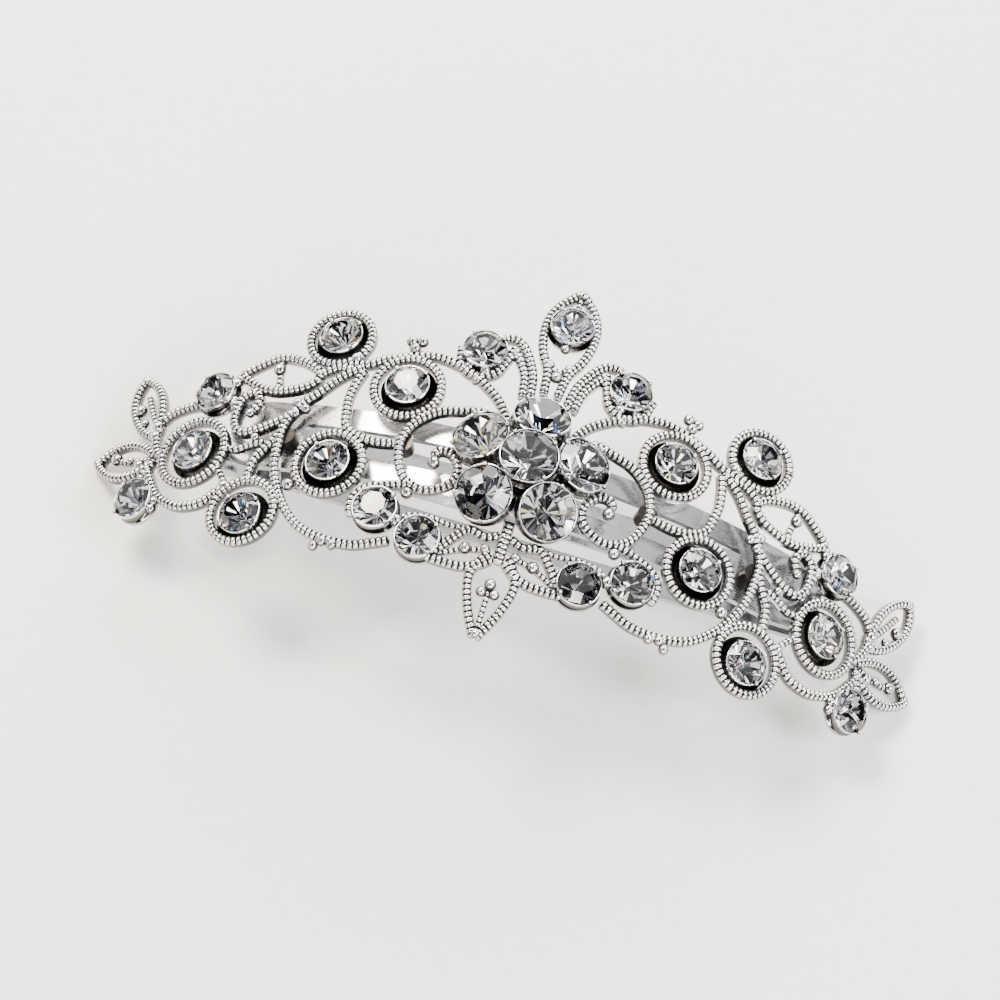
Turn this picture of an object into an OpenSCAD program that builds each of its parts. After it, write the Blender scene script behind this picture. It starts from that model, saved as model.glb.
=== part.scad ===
// Rhinestone hair clip: a cast openwork ornament set with round crystals, soldered to a
// French clip made of an arched base bar, a bowed tension bar and a hinged clasp arm.
// X runs along the clip, Y up the ornament, Z out of its face. The clip lies face up.

/* [Ornament] */
// Radius of the arch along the clip, mm
arch_radius = 80; // [60:1:120]
// How fast the panel falls away towards its upper and lower edges, 1/mm
dome_rate = 0.003; // [0.001:0.0005:0.006]
// Height of the crown of the panel above the table, mm
crown_height = 22.54; // [20:0.01:30]
// Shift of the flower's centre from the middle of the ornament, mm
flower_y = -2.725; // [-5:0.005:5]

/* [Wire] */
// Width of a cast wire, mm
wire_width = 1.3; // [0.8:0.05:1.6]
// Height of a cast wire, mm
wire_height = 1.5; // [1:0.05:2.2]
// Radius of a round bead, mm
bead_radius = 0.75; // [0.5:0.05:1]
// Steps between two points of a wire's route
wire_steps = 2; // [1:1:4]

/* [Crystals] */
// Diameter of the crystals in the scrolls, mm
small_stone = 5.4; // [4.8:0.1:6.4]
// Diameter of the crystals in the flower, mm
flower_stone = 7.2; // [6.2:0.1:8.2]
// Height of a scroll crystal's table above the panel, mm
small_table = 3; // [2.5:0.1:4]
// Distance of a petal from the flower's centre, mm
petal_reach = 7; // [6.5:0.1:8]
// Outward lean of a petal, degrees
petal_lean = 20; // [0:1:30]

/* [Base bar] */
// Gap between the panel and the top of the bar, mm
bar_drop = 1.7; // [1.2:0.1:3]
// Width of the bar, mm
bar_width = 10; // [8:0.5:12]
// Thickness of the bar, mm
bar_thickness = 0.9; // [0.6:0.05:1.4]
// Half the angle that the bar spans on its arch, degrees
bar_half_angle = 27; // [22:0.5:28]

/* [Clasp] */
// Distance of the hinge from the middle of the clip, mm
hinge_reach = 37.6; // [34:0.1:40]
// Depth of the hinge below the panel's crown, mm
hinge_depth = 13; // [12:0.1:16]
// Radius of the hinge pin, mm
pin_radius = 0.6; // [0.4:0.05:1]
// Running clearance round the hinge pin, mm
pin_clearance = 0.05; // [0.01:0.01:0.1]
// Width of the clasp arm, mm
arm_width = 9.4; // [8:0.2:11]
// Thickness of the clasp arm, mm
arm_thickness = 0.9; // [0.6:0.05:1.4]
// Depth of the tension bar's middle below the panel's crown, mm
tension_depth = 8.5; // [7:0.1:10]

/* [Hidden] */
wire_sides = 5;
pi_deg = 180 / PI;
rim = 0.25;                                 // wall of a stone cup
pavilion = 0.42;                            // depth of a crystal under its girdle, of its diameter
crown_part = 0.2;                           // height of a crystal over its girdle
bar_outer = arch_radius - bar_drop;
bar_inner = bar_outer - bar_thickness;
hinge_z = crown_height - hinge_depth;
knuckle_radius = pin_radius + pin_clearance + 0.65;
arm_low = hinge_z - knuckle_radius;
arm_high = arm_low + arm_thickness;
tab_z = crown_height - 11.3;
tab_thickness = 0.9;
catch_x = 37;
rivet_x = [catch_x - 0.35, catch_x + 1.3];
prong_axis_z = tab_z - 1.05;

silver = [0.78, 0.78, 0.79];
bright = [0.86, 0.86, 0.87];
steel = [0.66, 0.67, 0.69];
crystal = [0.88, 0.92, 0.96, 0.7];

// A point of the panel: s along the arch, t up the ornament, h out of the face.
function normal_at(s, t) = let (a = s / arch_radius * pi_deg, v = [sin(a), 2 * dome_rate * t, cos(a)])
    v / norm(v);
function panel_at(s, t, h) = let (a = s / arch_radius * pi_deg)
    [arch_radius * sin(a), t + flower_y,
     crown_height - arch_radius * (1 - cos(a)) - dome_rate * t * t] + h * normal_at(s, t);

// Moves a piece from the origin onto the panel, its Z along the panel's normal.
module on_panel(s, t, h = 0) {
    n = normal_at(s, t);
    translate(panel_at(s, t, h)) rotate([-asin(n[1]), atan2(n[0], n[2]), 0]) children();
}

module sides(left) {
    if (left) mirror([1, 0, 0]) children();
    else children();
}

// A smooth route through a list of [s, t] or [s, t, h] points.
function lift(p) = len(p) == 3 ? p : [p[0], p[1], 0];
function bend(a, b, c, d, u) = 0.5 * ((2 * b) + (c - a) * u + (2 * a - 5 * b + 4 * c - d) * u * u
    + (3 * b - a - 3 * c + d) * u * u * u);
function route(pts) = let (q = [for (p = pts) lift(p)], n = len(q))
    [for (i = [0 : n - 2], j = [0 : wire_steps - 1])
        bend(q[max(i - 1, 0)], q[i], q[i + 1], q[min(i + 2, n - 1)], j / wire_steps), q[n - 1]];

// A cast wire: flat back on the panel, rounded top, swept along a route.
module wire(pts, width = wire_width, height = wire_height) {
    r = route(pts);
    n = len(r);
    section = [[-0.5, 0], [0.5, 0], [0.5, 0.65], [0, 1], [-0.5, 0.65]];
    rings = [for (i = [0 : n - 1])
        let (p = panel_at(r[i][0], r[i][1], r[i][2]),
             a = max(i - 1, 0), b = min(i + 1, n - 1),
             d = panel_at(r[b][0], r[b][1], r[b][2]) - panel_at(r[a][0], r[a][1], r[a][2]),
             up = normal_at(r[i][0], r[i][1]),
             c = cross(up, d), side = c / norm(c))
        for (k = section) p + side * k[0] * width + up * k[1] * height];
    polyhedron(points = rings, faces = concat(
        [[for (k = [0 : wire_sides - 1]) k]],
        [for (i = [0 : n - 2], k = [0 : wire_sides - 1]) let (m = (k + 1) % wire_sides)
            [i * wire_sides + k, (i + 1) * wire_sides + k, (i + 1) * wire_sides + m,
             i * wire_sides + m]],
        [[for (k = [wire_sides - 1 : -1 : 0]) (n - 1) * wire_sides + k]]), convexity = 10);
}

function circle_route(s, t, r, from = 0, turn = 360, steps = 9) =
    [for (i = [0 : steps]) let (a = from + turn * i / steps) [s + r * cos(a), t + r * sin(a)]];

module bead(s, t, h = 0.9, r = bead_radius) {
    on_panel(s, t, h) hull() sphere(r, $fn = 6);
}

// A crystal with an eight-sided table, a sixteen-sided girdle and a point below.
module chaton(d) {
    r = d / 2;
    table = [for (i = [0 : 7]) [0.58 * r * cos(45 * i), 0.58 * r * sin(45 * i), crown_part * d]];
    top = [for (i = [0 : 15]) [r * cos(22.5 * i), r * sin(22.5 * i), 0.02 * d]];
    low = [for (i = [0 : 15]) [r * cos(22.5 * i), r * sin(22.5 * i), 0]];
    polyhedron(points = concat(table, top, low, [[0, 0, -pavilion * d]]), faces = concat(
        [[for (i = [7 : -1 : 0]) i]],
        [for (i = [0 : 7]) [i, 8 + 2 * i + 1, 8 + 2 * i]],
        [for (i = [0 : 7]) [i, (i + 1) % 8, 8 + 2 * i + 1]],
        [for (i = [0 : 7]) [(i + 1) % 8, 8 + (2 * i + 2) % 16, 8 + 2 * i + 1]],
        [for (i = [0 : 15]) [8 + i, 8 + (i + 1) % 16, 24 + (i + 1) % 16, 24 + i]],
        [for (i = [0 : 15]) [24 + i, 24 + (i + 1) % 16, 40]]));
}

// A cup for a crystal, its girdle at z = 0: thin rim, seat under the girdle, closed floor.
module cup(d, foot = 0.72, flange = 0.85) {
    r = d / 2;
    deep = pavilion * d;
    rotate_extrude($fn = 32) polygon([[0, -deep - 0.6], [foot * r, -deep - 0.6],
        [(foot * r + r + rim) / 2, -1.95], [r + 0.15 + flange, -1.95],
        [r + 0.15 + flange, -1.45], [r + rim - 0.05, -1.45],
        [r + rim, 0.12], [r + 0.04, 0.12], [r + 0.04, -0.24], [r - 0.25, -0.24],
        [0.12 * r + 0.3, -deep - 0.08], [0, -deep - 0.08]]);
    for (i = [0 : 3]) rotate([0, 0, 45 + 90 * i]) translate([r + 0.2, 0, 0.3]) sphere(0.33, $fn = 16);
}

// Where the scroll crystals sit on the right half: [name, s, t].
SCROLL = [["tip", 50.9, -11.9], ["curl", 43.9, 4.2], ["swirl", 44.1, -4.8], ["low_ring", 33.9, -13.7],
    ["upper_ring", 28.7, 14], ["mid_ring", 17.8, 7.8], ["inner_ring", 24.6, -5],
    ["lower_outer", 16.7, -10.3], ["lower_inner", 10.4, -13], ["spray", 9.7, 15.6]];
// Where the petals sit round the flower: [name, direction in degrees].
PETALS = [["top", 90], ["left_upper", 162], ["left_lower", 234], ["right_lower", 306],
    ["right_upper", 18]];

module at_scroll(i) {
    on_panel(SCROLL[i][1], SCROLL[i][2], small_table - crown_part * small_stone) children();
}

module at_petal(a) {
    on_panel(petal_reach * cos(a), petal_reach * sin(a), 4.5 - crown_part * flower_stone)
        rotate([0, 0, a]) rotate([0, petal_lean, 0]) children();
}

module at_core() { on_panel(0, 0, 5.1) children(); }

module at_leaf() { on_panel(0, 22.6, small_table - crown_part * small_stone) children(); }

// Room for the crystals, cut out of the wires that run into a cup.
module seats() {
    for (i = [0 : 9]) at_scroll(i) translate([0, 0, -1.9])
        cylinder(r1 = 1.2, r2 = small_stone / 2 + 0.3, h = 1.9, $fn = 12);
    for (i = [0 : 9]) at_scroll(i) cylinder(r = small_stone / 2 + 0.3, h = 2.5, $fn = 12);
    for (p = PETALS) at_petal(p[1]) translate([0, 0, -1.9])
        cylinder(r = flower_stone / 2 + 0.2, h = 6, $fn = 16);
}

// Wires and beads of the half of the ornament next to the flower.
module inner_wing() {
    wire([[4, 5.6], [5.8, 8.6], [8.3, 10.7], [10.8, 12.2], [13.8, 13.2], [16.5, 13.4], [21.3, 12],
        [23.8, 10.7], [26.7, 10]]);
    wire(circle_route(18, 8, 4.4));
    wire(circle_route(24.8, -4.8, 4.4));
    wire([[5.5, 5.5], [7.5, 6.6], [10, 6.2], [12.9, 5.3], [15.2, 3.4], [16.3, 1.3], [16.5, -0.8],
        [15.8, -3.3], [14.4, -5.3], [12, -6.2], [9.6, -5.3], [8.3, -3.7], [8.5, -1.8], [9.8, -0.3],
        [11.3, -0.3], [11.9, -1.4]]);
    wire([[24.4, 10.1], [27.1, 8], [29.2, 5.5], [31, 3.5], [32.5, 0.5], [32.5, -2.8], [31.9, -6.2],
        [30.6, -9.1], [29, -11.4], [26.7, -13.7], [24.2, -14.9], [21.3, -15.5], [18.3, -15.5],
        [15.8, -14.7], [13.8, -13.9]]);
    wire([[24.2, 9.7], [24.8, 7.6], [25.1, 5.1], [24.8, 3], [24.2, 0.9], [22.5, -0.3], [20, -0.8],
        [17, -0.5]]);
    wire([[13.5, -5.8], [16.7, -6.6], [19, -7.6], [20.2, -9.4], [19.9, -11.6]]);
    for (b = [[11.5, -2.2, 0.85], [29.1, -8.7, 0.85], [18.8, -8.3, 0.8],
              [19.4, 15.1, 0.8], [18, 15.3, 0.8], [18.7, 14.1, 0.8], [23.1, -16.6, 0.7],
              [22.2, -15.8, 0.7], [20.8, -16.1, 0.7], [13.6, -7.2, 0.8], [25.9, 11.2, 0.8]])
        bead(b[0], b[1], 0.9, b[2]);
}

// Wires and beads of the half of the ornament next to its end.
module outer_wing() {
    wire(circle_route(29, 14.2, 4.2));
    wire([[30, 7.6], [31.2, 9.2], [34.2, 10.3], [36.7, 10.3], [39.2, 9], [41, 7.4], [39.2, 6.1],
        [36.7, 5.2], [34.2, 5.2], [31.4, 6.1], [30, 7.6]]);
    wire([[25.6, 9.3], [27.5, 9.6], [29.3, 8.7], [30.2, 8]]);
    wire([[36.2, 10.1], [36.1, 8.4], [35.6, 6.8], [35.6, 5.4]], 0.7, 1);
    wire([[41, 7.4], [42, 6], [42.4, 4.6], [41, 3.2], [40.4, 1.6]]);
    wire([[37.9, 1.7], [37.3, 3.4], [38.3, 4.7], [39.8, 3.8], [40.2, 2.2], [40, 0.1], [38.7, -1.4],
        [36.7, -1.2], [34.2, 0.1], [32.1, 1.7], [30.8, 3.6]]);
    wire([[51.7, 0.2], [50.4, 1.5], [47.9, 2.4], [45.4, 2.8], [42.8, 3.4], [40.6, 2.8]]);
    wire(circle_route(44.7, -4.6, 4.7));
    wire([[49.4, -5.4], [50.6, -4.4], [51.6, -2.4], [51.7, -0.2]]);
    wire([[51.2, -7.2], [49.8, -9.2], [47.9, -11.2], [45.4, -12.4], [43.3, -12.7], [40.8, -12.2],
        [38.8, -10.4], [37.4, -9.4]]);
    wire(circle_route(34.3, -12.9, 4.4));
    wire([[35.3, -8.5], [35.2, -6.5], [34.9, -5], [34, -3.5], [32.8, -1.4]]);
    wire([[40.4, -3.6], [38.4, -4], [36.6, -3.2], [34.4, -2.6]], 0.9, 1.2);
    wire([[40.6, -6.4], [39.2, -8], [38, -9.6]], 0.9, 1.2);
    for (b = [[36, 8.4, 0.85], [31.7, 3.4, 0.7], [31.5, 1.8, 0.7], [30.3, 2.6, 0.7], [48.9, -12.5, 0.7],
              [48, -13.1, 0.7], [48, -12, 0.7], [51.9, -0.5, 0.85], [38, -9.6, 0.8],
              [41.6, 6, 0.75], [36, -2.2, 0.6], [38, 1.4, 0.65]])
        bead(b[0], b[1], 0.9, b[2]);
}

// The two open leaves at the end of the ornament.
module tip_leaf_pair() {
    wire([[51.6, -1.6], [52.2, 1.2], [53.2, 3.9], [55, 6.2], [57.6, 7.8]]);
    wire([[51.8, -2.2], [54.2, -1.2], [56.3, 0.6], [57.8, 3], [58.2, 5.4], [57.6, 7.8]]);
    wire([[52.2, -0.6], [54.2, 2], [56, 4.8]], 0.7, 1);
    wire([[50.8, -5], [53.2, -3.6], [56, -3], [58.6, -3.6], [61, -5.4]]);
    wire([[50.8, -6], [53.2, -7.6], [56, -8], [58.6, -7.2], [61, -5.4]]);
    wire([[51.4, -5.4], [54.4, -5.6], [56.8, -5.4]], 0.7, 1);
    wire([[50.6, -5.6], [51.4, -7.4], [52, -9.2]]);
    for (b = [[56.2, 2.4, 0.85], [54.6, 0.2, 0.6], [57.2, -5.2, 0.85], [54.6, -5.6, 0.6],
              [51.8, -2, 0.8], [52.8, -6.4, 0.7], [57.4, 7.4, 0.7], [60.8, -5.4, 0.7]])
        bead(b[0], b[1], 0.9, b[2]);
}

// The leaf over the flower with the arms of the two upper crystals.
module spray() {
    for (m = [-1, 1]) {
        wire([[0.9 * m, 11.6], [1.4 * m, 15.5], [2.6 * m, 18], [3.3 * m, 20.9], [3.2 * m, 23.8],
            [2.2 * m, 26.3], [0.2 * m, 28.8]]);
        wire([[2.4 * m, 10.6], [2.9 * m, 13.8], [4 * m, 16.3], [5.4 * m, 18.3], [6.9 * m, 18.9], [8.2 * m, 18.4]]);
        wire([[3.4 * m, 10.2], [3.9 * m, 13.4], [5 * m, 15.6], [6.2 * m, 17.2]]);
        wire([[12.9 * m, 15.9], [12.1 * m, 12.9], [10 * m, 11.8], [7.6 * m, 12.9], [6.6 * m, 15.5],
            [6 * m, 17.5]]);
        wire([[10 * m, 11.8], [9.6 * m, 10.9]]);
        bead(9 * m, 12.9, 0.9, 0.8);
        bead(11.2 * m, 12.9, 0.9, 0.7);
        bead(1.2 * m, 16.4, 0.9, 0.6);
    }
    wire([[0, 25.4], [0, 27], [0, 28.6]], 0.8, 1.2);
    bead(0, 28.6, 0.9, 0.75);
    bead(0, 19.3, 0.9, 0.7);
    bead(0, 14.6, 0.9, 0.8);
    wire([[-1.2, 16.2], [0, 15.8], [1.2, 16.2]], 0.9, 1);
}

// The drop below the flower with its two side leaves.
module pendant() {
    for (m = [-1, 1]) {
        wire([[0.6 * m, -9.6], [2.4 * m, -10.4], [4.6 * m, -10], [6.2 * m, -11.6], [7.4 * m, -13.2],
            [8.6 * m, -14.8], [6.3 * m, -15.1], [4.2 * m, -15], [2.2 * m, -14.2], [0.8 * m, -13]]);
        wire([[1.2 * m, -12.2], [2.6 * m, -14.6], [2.9 * m, -16.4], [2.3 * m, -18.9],
            [1.3 * m, -21.4], [0.2 * m, -23.5]]);
        wire([[1.2 * m, -11.9], [4.4 * m, -12.6], [7.6 * m, -14.1]], 0.7, 1);
        wire([[4.6 * m, -9.8], [7.2 * m, -10], [9.6 * m, -9.6], [12.4 * m, -9.9], [13.6 * m, -10.8]],
            0.9, 1);
        bead(13.8 * m, -11.2, 0.9, 0.9);
        bead(4.4 * m, -12.6, 0.9, 0.85);
        bead(2 * m, -12, 0.9, 0.7);
        bead(0.85 * m, -17.6, 0.9, 0.7);
    }
    wire([[0, -7.4], [0, -10], [0, -13.4]], 1.6, 1.3);
    wire([[0, -15.4], [0, -19], [0, -22.8]], 0.8, 1);
    bead(0, -16.4, 0.9, 0.8);
    bead(0, -23, 0.9, 0.7);
}

module cast(left) {
    color(silver) sides(left) difference() {
        union() children();
        seats();
    }
}
module left_inner_wing() { cast(true) inner_wing(); }
module right_inner_wing() { cast(false) inner_wing(); }
module left_outer_wing() { cast(true) outer_wing(); }
module right_outer_wing() { cast(false) outer_wing(); }
module left_tip_leaves() { cast(true) tip_leaf_pair(); }
module right_tip_leaves() { cast(false) tip_leaf_pair(); }
module centre_spray() {
    color(silver) difference() {
        union() spray();
        seats();
        mirror([1, 0, 0]) seats();
        at_leaf() translate([0, 0, -1.9]) cylinder(r = small_stone / 2 + 0.3, h = 5, $fn = 16);
    }
}
module pendant_leaves() {
    color(silver) difference() {
        union() pendant();
        seats();
        mirror([1, 0, 0]) seats();
    }
}

module flower_cups() {
    color(bright) {
        for (p = PETALS) at_petal(p[1]) cup(flower_stone, 0.45, 0.1);
        at_core() cup(flower_stone, 0.3, 0.1);
        on_panel(0, 0, -0.4) cylinder(r = 4.6, h = 1.2, $fn = 48);
    }
}

module scroll_cups(left) {
    color(bright) sides(left) for (i = [0 : 9]) at_scroll(i) cup(small_stone);
}
module left_cups() { scroll_cups(true); }
module right_cups() { scroll_cups(false); }
module leaf_cup() { color(bright) at_leaf() cup(small_stone); }

module scroll_crystal(left, i) { color(crystal) sides(left) at_scroll(i) chaton(small_stone); }
module petal_crystal(i) { color(crystal) at_petal(PETALS[i][1]) chaton(flower_stone); }
module crystal_flower_centre() { color(crystal) at_core() chaton(flower_stone); }
module crystal_leaf() { color(crystal) at_leaf() chaton(small_stone); }

// A band of the arch, from one angle to another, between two radii.
module arch_band(inner, outer, from, to, wide, centre_z) {
    translate([0, flower_y, centre_z]) rotate([90, 0, 0])
        rotate_extrude(angle = to - from, start = 90 + from, $fn = 180)
            translate([inner, -wide / 2]) square([outer - inner, wide]);
}

// A plate cut to a profile in X and Z, thick in Y.
module profile(y0, thick) {
    translate([0, flower_y + y0 + thick, 0]) rotate([90, 0, 0]) linear_extrude(thick) children();
}

module base_bar() {
    centre_z = crown_height - arch_radius;
    tab = tab_thickness;
    color(steel) difference() {
        union() {
            arch_band(bar_inner, bar_outer, -bar_half_angle, bar_half_angle, bar_width, centre_z);
            for (x = [-39.2, 33.9]) translate([x, flower_y - bar_width / 2, tab_z])
                cube([5.3, bar_width, tab]);
            for (y = [-bar_width / 2 + 0.05, bar_width / 2 - 0.85]) profile(y, 0.8) union() {
                polygon([[-hinge_reach - 1.6, tab_z + 0.4], [-hinge_reach + 2.6, tab_z + 0.4],
                    [-hinge_reach + 1.6, hinge_z], [-hinge_reach - 1.6, hinge_z]]);
                translate([-hinge_reach, hinge_z]) circle(1.6, $fn = 32);
            }
        }
        for (a = [[-22, -1], [1, 22]])
            arch_band(bar_inner - 2, bar_outer + 2, a[0], a[1], 4, centre_z);
        translate([-hinge_reach, flower_y + 8, hinge_z]) rotate([90, 0, 0])
            cylinder(r = pin_radius + 0.01, h = 16, $fn = 32);
        for (x = rivet_x) translate([x, flower_y, tab_z - 1])
            cylinder(r = 0.46, h = 4, $fn = 24);
    }
}

module hinge_pin() {
    color(bright) translate([-hinge_reach, flower_y, hinge_z]) rotate([90, 0, 0]) {
        cylinder(r = pin_radius, h = bar_width + 0.1, center = true, $fn = 32);
        for (z = [-1, 1]) translate([0, 0, z * (bar_width / 2 + 0.2)])
            cylinder(r = pin_radius + 0.35, h = 0.4, center = true, $fn = 32);
    }
}

module tension_bar() {
    sag = 1.7;
    half = 33;
    bow = (half * half + sag * sag) / (2 * sag);
    top = crown_height - tension_depth;
    swing = asin(half / bow);
    color(bright) {
        arch_band(bow - 0.5, bow, -swing, swing, 6, top - bow);
        for (m = [-1, 1]) profile(-3, 6) polygon([[m * half, top - sag - 0.5], [m * 31.6, top - sag - 0.35],
            [m * 31.6, crown_height - arch_radius + sqrt(bar_inner * bar_inner - 31.6 * 31.6) - 0.03],
            [m * half, crown_height - arch_radius + sqrt(bar_inner * bar_inner - half * half) - 0.03]]);
    }
}

module clasp_arm() {
    narrow = bar_width / 2 - 0.95;
    end = 41.2;
    color(bright) difference() {
        union() {
            translate([-hinge_reach, flower_y, hinge_z]) rotate([90, 0, 0])
                cylinder(r = knuckle_radius, h = 2 * narrow, center = true, $fn = 32);
            translate([0, flower_y, arm_low]) linear_extrude(arm_thickness) union() {
                polygon([[-hinge_reach, -narrow], [-34.6, -narrow], [-33.6, -arm_width / 2],
                    [end - 2, -arm_width / 2], [end, -arm_width / 2 + 2], [end, arm_width / 2 - 2],
                    [end - 2, arm_width / 2], [-33.6, arm_width / 2], [-34.6, narrow],
                    [-hinge_reach, narrow]]);
            }
        }
        translate([-hinge_reach, flower_y + 8, hinge_z]) rotate([90, 0, 0])
            cylinder(r = pin_radius + pin_clearance, h = 16, $fn = 32);
        translate([-29, flower_y - 2.4, arm_low - 1]) cube([58, 4.8, 4]);
        translate([catch_x - 2.1, flower_y - 2.7, arm_low - 1]) cube([4.2, 5.4, 4]);
    }
}

module catch_plate() {
    color(steel) difference() {
        translate([catch_x - 2.2, flower_y - 3.2, tab_z - 0.7]) cube([4.4, 6.4, 0.7]);
        for (x = rivet_x) translate([x, flower_y, tab_z - 2])
            cylinder(r = 0.46, h = 4, $fn = 24);
    }
}

module catch_rivets() {
    color(bright) for (x = rivet_x) translate([x, flower_y, 0]) {
        translate([0, 0, tab_z - 0.8]) cylinder(r = 0.45, h = tab_thickness + 0.9, $fn = 24);
        translate([0, 0, tab_z + tab_thickness]) cylinder(r = 0.75, h = 0.3, $fn = 24);
        translate([0, 0, tab_z - 1]) cylinder(r = 0.75, h = 0.3, $fn = 24);
    }
}

// A sprung leg of the catch, its hook turned outwards.
module prong() {
    hook = arm_low - 0.12;
    root = [for (a = [0:15:180]) [1.9 + 0.3 * cos(a), prong_axis_z + 0.3 * sin(a)]];
    color(steel) translate([catch_x - 1.6, flower_y, 0]) rotate([90, 0, 90]) linear_extrude(3.2)
        polygon(concat(root, [[1.6, hook - 1], [1.7, hook - 3.2], [2.3, hook - 3.2],
            [2.3, hook - 1.5], [3.25, hook - 0.3], [3.25, hook], [2.2, hook]]));
}
module catch_prong_back() { prong(); }
module catch_prong_front() { translate([0, 2 * flower_y, 0]) mirror([0, 1, 0]) prong(); }

// Solder pads between the ornament and the base bar.
module solder_pads() {
    color(silver) {
        on_panel(0, 0, -bar_drop) cylinder(r = 3, h = bar_drop - 0.4, $fn = 32);
        for (m = [-1, 1], p = [[16.4, 0.2], [22.6, -0.4], [32.3, -1.2]])
            on_panel(m * p[0], p[1], -bar_drop) cylinder(r = 1.3, h = bar_drop + 0.3, $fn = 24);
    }
}

/* [View] */
// Sub-part to draw

base_bar();
tension_bar();
hinge_pin();
clasp_arm();
catch_plate();
catch_rivets();
catch_prong_front();
catch_prong_back();
solder_pads();
left_inner_wing();
right_inner_wing();
left_outer_wing();
right_outer_wing();
left_tip_leaves();
right_tip_leaves();
centre_spray();
pendant_leaves();
flower_cups();
left_cups();
right_cups();
leaf_cup();
for (i = [0 : 9]) {
    scroll_crystal(true, i);
    scroll_crystal(false, i);
}
for (i = [0 : 4]) {
    petal_crystal(i);
}
crystal_flower_centre();
crystal_leaf();
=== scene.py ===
# %% [markdown]
# # A rhinestone hair clip
# The clip is a set of cast, silver-plated scrolls with a beaded edge, small cups that hold
# faceted crystals, and a sprung French clip underneath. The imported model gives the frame:
# where each piece is and which body it moves with. This lesson gives the pieces their looks.

# %% Load the frame
import math
import random

import bpy
from mathutils import Matrix, Vector


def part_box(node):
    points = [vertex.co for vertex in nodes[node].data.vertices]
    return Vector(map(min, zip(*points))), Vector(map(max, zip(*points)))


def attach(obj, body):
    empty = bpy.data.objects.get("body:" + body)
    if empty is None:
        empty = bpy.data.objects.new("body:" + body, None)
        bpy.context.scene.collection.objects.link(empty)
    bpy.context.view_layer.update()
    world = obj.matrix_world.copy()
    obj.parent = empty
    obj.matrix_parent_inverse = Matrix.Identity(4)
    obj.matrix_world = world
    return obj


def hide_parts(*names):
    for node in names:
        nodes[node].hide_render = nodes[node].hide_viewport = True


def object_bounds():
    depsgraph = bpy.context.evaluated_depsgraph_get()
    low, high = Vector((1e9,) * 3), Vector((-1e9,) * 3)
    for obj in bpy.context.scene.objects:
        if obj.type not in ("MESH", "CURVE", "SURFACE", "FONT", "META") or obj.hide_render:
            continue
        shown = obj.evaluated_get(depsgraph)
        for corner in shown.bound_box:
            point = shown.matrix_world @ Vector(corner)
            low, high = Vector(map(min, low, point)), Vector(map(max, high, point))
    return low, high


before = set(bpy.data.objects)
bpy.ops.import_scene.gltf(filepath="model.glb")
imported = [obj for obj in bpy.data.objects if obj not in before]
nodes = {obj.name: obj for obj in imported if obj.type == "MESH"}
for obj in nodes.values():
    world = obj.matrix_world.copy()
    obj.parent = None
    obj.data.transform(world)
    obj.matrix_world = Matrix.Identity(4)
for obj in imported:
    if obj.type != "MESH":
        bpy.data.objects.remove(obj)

cad_low, cad_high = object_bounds()
print("frame:", len(nodes), "nodes,", [round(v, 4) for v in cad_high - cad_low])

# %% [markdown]
# ## The curved panel
# Every ornament lies on one bent sheet: a long arch of 80 mm radius that also falls away
# a little towards its upper and lower edges. One way to bend pieces is a Curve modifier,
# but a formula is exact and easy to reuse. A place on the sheet is s along the arch, t up
# the ornament and h out of its face, all in millimetres. The flower's middle crystal stands
# on the crown of the arch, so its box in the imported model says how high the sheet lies.

# %% Places on the panel
MM = 0.001
ARCH_RADIUS = 80.0
DOME_RATE = 0.003
SMALL_STONE = 5.4
FLOWER_STONE = 7.2
CROWN_PART = 0.2
PAVILION_PART = 0.42
CORE_GIRDLE = 5.1
core_low, core_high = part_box("crystal_flower_centre")
flower_y = (core_low.y + core_high.y) / 2 / MM
crown_z = core_high.z / MM - CORE_GIRDLE - CROWN_PART * FLOWER_STONE


def panel_normal(s, t):
    angle = s / ARCH_RADIUS
    return Vector((math.sin(angle), 2 * DOME_RATE * t, math.cos(angle))).normalized()


def on_panel(s, t, h=0.0):
    """The point at (s, t, h), in metres in the row frame."""
    angle = s / ARCH_RADIUS
    foot = Vector((ARCH_RADIUS * math.sin(angle), t + flower_y,
                   crown_z - ARCH_RADIUS * (1 - math.cos(angle)) - DOME_RATE * t * t))
    return (foot + h * panel_normal(s, t)) * MM


def panel_matrix(s, t, h=0.0):
    """A frame on the panel: X along the arch, Y up the ornament, Z out of the face."""
    n = panel_normal(s, t)
    turn = (Matrix.Rotation(math.atan2(n.x, n.z), 4, "Y")
            @ Matrix.Rotation(-math.asin(n.y), 4, "X"))
    return Matrix.Translation(on_panel(s, t, h)) @ turn


print("flower centre at y", round(flower_y, 2), "mm, crown at z", round(crown_z, 2), "mm")

# %% [markdown]
# ## Building meshes
# The pieces are swept and turned shapes made of many small faces. A plain list of points
# and faces is the quickest way to make them, and one object per casting keeps the outliner
# short. A number stored on each point paints light and shade: 1 paints a ridge or top
# bright, as a highlight, and 0 paints a groove or recess dark, as shade.

# %% A mesh under construction
class Shape:
    def __init__(self):
        self.points, self.faces, self.wear, self.slots = [], [], [], []

    def add(self, points, faces, wear=None, slot=0):
        first = len(self.points)
        self.points += points
        self.faces += [[first + i for i in face] for face in faces]
        self.wear += wear or [1.0] * len(points)
        self.slots += [slot] * len(faces)

    def piece(self, name, materials, smooth=True):
        mesh = bpy.data.meshes.new(name)
        mesh.from_pydata(self.points, [], self.faces)
        for material in materials:
            mesh.materials.append(material)
        mesh.polygons.foreach_set("material_index", self.slots)
        mesh.polygons.foreach_set("use_smooth", [smooth] * len(self.faces))
        # painted light and shade for each point, read by the plated material
        mesh.attributes.new("wear", "FLOAT", "POINT").data.foreach_set("value", self.wear)
        mesh.validate()
        obj = bpy.data.objects.new(name, mesh)
        bpy.context.scene.collection.objects.link(obj)
        return obj


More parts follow.
